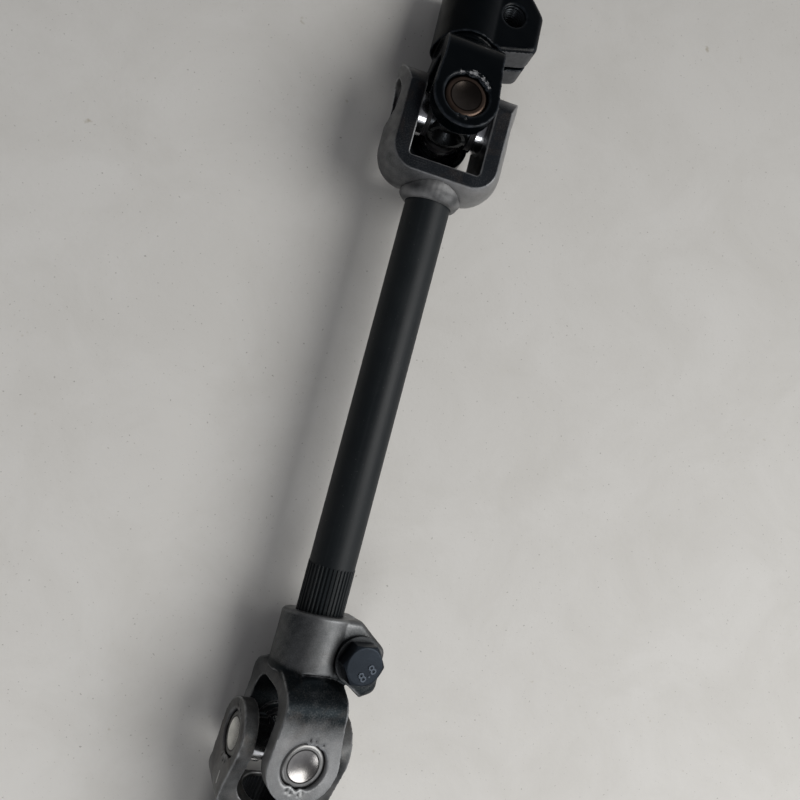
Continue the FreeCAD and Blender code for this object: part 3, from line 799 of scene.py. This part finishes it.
hole_low, hole_high = HOLE_THREAD_SPAN
bolt_low, bolt_high = BOLT_THREAD_SPAN
upper_thread = thread_sleeve("upper_hole_thread", upper_local, UPPER_HOLE,
                             hole_low, hole_high, **HOLE_THREAD)
dressed(upper_thread, thread_mat, "upper_yoke")
end_thread = thread_sleeve("end_hole_thread", end_local, END_HOLE,
                           -hole_high, -hole_low, **HOLE_THREAD)
dressed(end_thread, thread_mat, "end_yoke")
bolt_thread = thread_sleeve("pinch_bolt_thread", bolt_local, (0, 0),
                            bolt_low, bolt_high, **BOLT_THREAD)
dressed(bolt_thread, bolt_mat, "shaft_assembly")

TOOTH_TIP_RADIUS = 7.86
TOOTH_ROOT_RADIUS = 8.12
TOOTH_BACK_RADIUS = CLAMP_BORE_RADIUS + 0.15


def bore_teeth(name, local, end):
    """The serration inside a clamp's bore, from its start to its end, open at the clamp's slot."""
    gap = math.asin((CLAMP_SLOT / 2 + 0.15) / CLAMP_BORE_RADIUS)
    profile = (TOOTH_TIP_RADIUS, TOOTH_TIP_RADIUS, TOOTH_ROOT_RADIUS, TOOTH_ROOT_RADIUS)
    inner = np.append(np.tile(profile, SPLINE_TEETH), TOOTH_TIP_RADIUS)
    spread = np.linspace(gap, 2 * math.pi - gap, len(inner))
    radius = np.append(inner, np.full(len(inner), TOOTH_BACK_RADIUS))
    angle = np.append(spread, spread[::-1])
    outline = np.stack([radius * np.cos(angle), np.zeros(len(angle)), radius * np.sin(angle)], axis=1)
    return grid_object(name, [local.to_world(outline + np.array([0, y, 0])) for y in (BORE_START, end)])


upper_teeth = bore_teeth("upper_bore_serration", upper_local, UPPER_BORE_END)
dressed(upper_teeth, bore_mat, "upper_yoke", smooth=False)
end_teeth = bore_teeth("end_bore_serration", end_local, END_BORE_END)
dressed(end_teeth, bore_mat, "end_yoke", smooth=False)


def class_mark(text, place, size, angle):
    """Raised strength class on the bolt's head, set flat on it."""
    curve = bpy.data.curves.new("class_mark", "FONT")
    curve.body = text
    curve.align_x, curve.align_y = "CENTER", "CENTER"
    curve.size = size * MM
    curve.extrude = 0.2 * MM
    curve.bevel_depth = 0.08 * MM
    curve.space_character = 1.15
    curve.materials.append(mark_mat)
    obj = new_object("bolt_class_mark", curve)
    turn = Matrix(bolt_local.turn.tolist()).transposed().to_4x4()
    spin = Matrix.Rotation(math.radians(angle), 4, "Z")
    obj.matrix_world = Matrix.Translation(Vector(bolt_local.to_world(place))) @ turn @ spin
    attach(obj, "shaft_assembly")


head_top = LUG_HALF_HEIGHT + WASHER_THICKNESS + BOLT_HEAD_HEIGHT
class_mark("8.8", place=(1.5, -2.1, head_top), size=4.7, angle=44)


# Cups: the drawn shape of each node, with its zones told apart

def along_and_across(points, way):
    """Height of points along a trunnion, and their distance from its axis."""
    height = points @ way
    return height, np.linalg.norm(points - height[:, None] * way, axis=1)


def cup_piece(node, local, way, mat, body, grime_and_shade):
    """Copies a cup's mesh and records its zones, its radii, and dirt and painted shade round its edge."""
    mesh = frame["nodes"][node].data.copy()
    obj = new_object(node + "_drawn", mesh)
    way = np.array(way, float)
    height, radius = along_and_across(local.to_local(vertex_array(mesh)), way)
    centres = np.empty(len(mesh.polygons) * 3, np.float32)
    mesh.polygons.foreach_get("center", centres)
    face_height, face_radius = along_and_across(local.to_local(centres.reshape(-1, 3).astype(float)), way)
    zone = np.where(face_radius < CUP_DISH_RADIUS - 0.03, DISH_ZONE,
                    np.where(face_height > OUTER_FACE, RIM_ZONE, SIDE_ZONE))
    # dirt and painted shade where the cup's edge meets the ear
    edge = smooth_step(*CUP_EDGE, radius) * (height > CUP_END - 2.0)
    attribute(mesh, "zone", zone, "FACE")
    attribute(mesh, "grime_and_shade", edge * grime_and_shade)
    attribute(mesh, "radial", radius / RADIAL_UNIT)
    dressed(obj, mat, body, node)


ways = {"left": (-1, 0, 0), "right": (1, 0, 0), "bottom": (0, 0, -1), "top": (0, 0, 1)}
for side, way in ways.items():
    upright = side in ("bottom", "top")
    cup_piece("upper_cup_" + side, upper_local, way, upper_cup_painted_shade_mat,
              "upper_yoke" if upright else "shaft_assembly", grime_and_shade=0.6)
    cup_piece("lower_cup_" + side, lower_cross_local, way, lower_cup_mat if upright else end_cup_painted_light_mat,
              "shaft_assembly" if upright else "end_yoke", grime_and_shade=0.75)


# The nodes that are shown as they are

finishes = {"intermediate_shaft": shaft_mat, "flat_washer": washer_painted_shade_mat, "_cross": cross_mat,
            "_needles_": needle_mat, "_seal_": seal_mat}
for name, obj in frame["nodes"].items():
    for kind, mat in finishes.items():
        if kind in name:
            for material_slot in obj.material_slots:
                material_slot.material = mat


# Floor, lights and camera

def floor():
    """A pale, faintly clouded and speckled floor, with painted shade that darkens it towards +Y."""
    half = 3.0
    corners = [(-half, -half, 0), (half, -half, 0), (half, half, 0), (-half, half, 0)]
    mesh = bpy.data.meshes.new("floor")
    mesh.from_pydata(corners, [], [(0, 1, 2, 3)])
    obj = new_object("floor", mesh)
    mat, n, shader = new_material("floor", (0.6, 0.59, 0.57), 0.0, 0.8, specular=0.3)
    color = n.mix(n.noise(9.0, 6, 0.6), (0.56, 0.545, 0.515), (0.64, 0.63, 0.605))
    patch = n.ramp(n.noise(22.0, 5, 0.7, distortion=0.5), (0.4, 0.0), (0.75, 1.0))
    color = n.mix(n.math("MULTIPLY", patch, 0.5), color, (0.50, 0.485, 0.45))
    speck = n.ramp(n.noise(900.0, 2, 0.5), (0.25, 0.0), (0.31, 1.0))
    color = n.mix(speck, (0.36, 0.345, 0.32), color)
    stain = n.ramp(n.noise(130.0, 3, 0.5), (0.22, 0.0), (0.27, 1.0))
    color = n.mix(stain, (0.42, 0.39, 0.33), color)
    # painted shade: paler near -Y, darker towards +Y
    shade_start, shade_slope, palest, shade_depth = -0.14, 3.0, 1.10, 0.30
    along = n.math("ADD", n.axes("Object")["Y"], -shade_start)
    along = n.math("MULTIPLY", along, shade_slope, clamp=True)
    dim = n.math("SUBTRACT", palest, n.math("MULTIPLY", along, shade_depth))
    shade = n.tree.nodes.new("ShaderNodeVectorMath")
    shade.operation = "SCALE"
    n.link(color, shade.inputs["Vector"])
    n.link(dim, shade.inputs["Scale"])
    n.link(shade.outputs["Vector"], shader.inputs["Base Color"])
    n.link(n.bump(n.noise(600.0, 4), 0.2, 0.3 * MM), shader.inputs["Normal"])
    obj.data.materials.append(mat)


def area_light(name, place, size, power, color=(1, 1, 1)):
    """A square lamp turned to the middle of the part."""
    data = bpy.data.lights.new(name, "AREA")
    data.shape = "RECTANGLE"
    data.size, data.size_y = size, size
    data.energy = power
    data.color = color
    obj = new_object(name, data)
    obj.location = place
    obj.rotation_euler = (-Vector(place)).to_track_quat("-Z", "Y").to_euler()


def sky():
    """Light from all round: strong low down and from +X and -Y, weak from overhead and behind."""
    world = bpy.data.worlds.new("world")
    bpy.context.scene.world = world
    world.use_nodes = True
    n = Nodes(world.node_tree)
    way = n.axes("Generated")
    by_height = n.ramp(way["Z"], (0.0, (0.78, 0.79, 0.82)), (0.45, (0.60, 0.61, 0.64)),
                       (0.85, (0.11, 0.11, 0.12)), (1.0, (0.08, 0.08, 0.085)))
    across = n.math("MULTIPLY", way["X"], 0.36)
    along = n.math("MULTIPLY", way["Y"], 0.26)
    facing = n.math("ADD", n.math("SUBTRACT", across, along), 0.56, clamp=True)
    background = world.node_tree.nodes["Background"]
    n.link(n.mix(facing, (0.05, 0.05, 0.055), by_height), background.inputs["Color"])
    background.inputs["Strength"].default_value = 1.2


def camera(place, right, up, back, lens):
    """The photograph's camera: where it is, its three axes and its lens for a 36 mm wide sensor."""
    data = bpy.data.cameras.new("camera")
    data.sensor_width = 36.0
    data.lens = lens
    data.clip_start = 0.01
    obj = new_object("camera", data)
    turn = Matrix((right, up, back)).transposed().to_4x4()
    obj.matrix_world = Matrix.Translation(place) @ turn
    bpy.context.scene.camera = obj


floor()
area_light("window", (1.14, 0.12, 1.22), size=1.1, power=23.5, color=(1.0, 0.99, 0.97))
area_light("lamp", (0.1, -0.75, 0.8), size=0.3, power=1.5)
sky()
camera(place=(-0.046824, -0.004996, 0.291646), right=(0.94546, 0.25503, 0.20266),
       up=(-0.2599, 0.96563, -0.00263), back=(-0.19636, -0.05018, 0.97925), lens=35.862)
bpy.context.scene.view_settings.view_transform = "Standard"
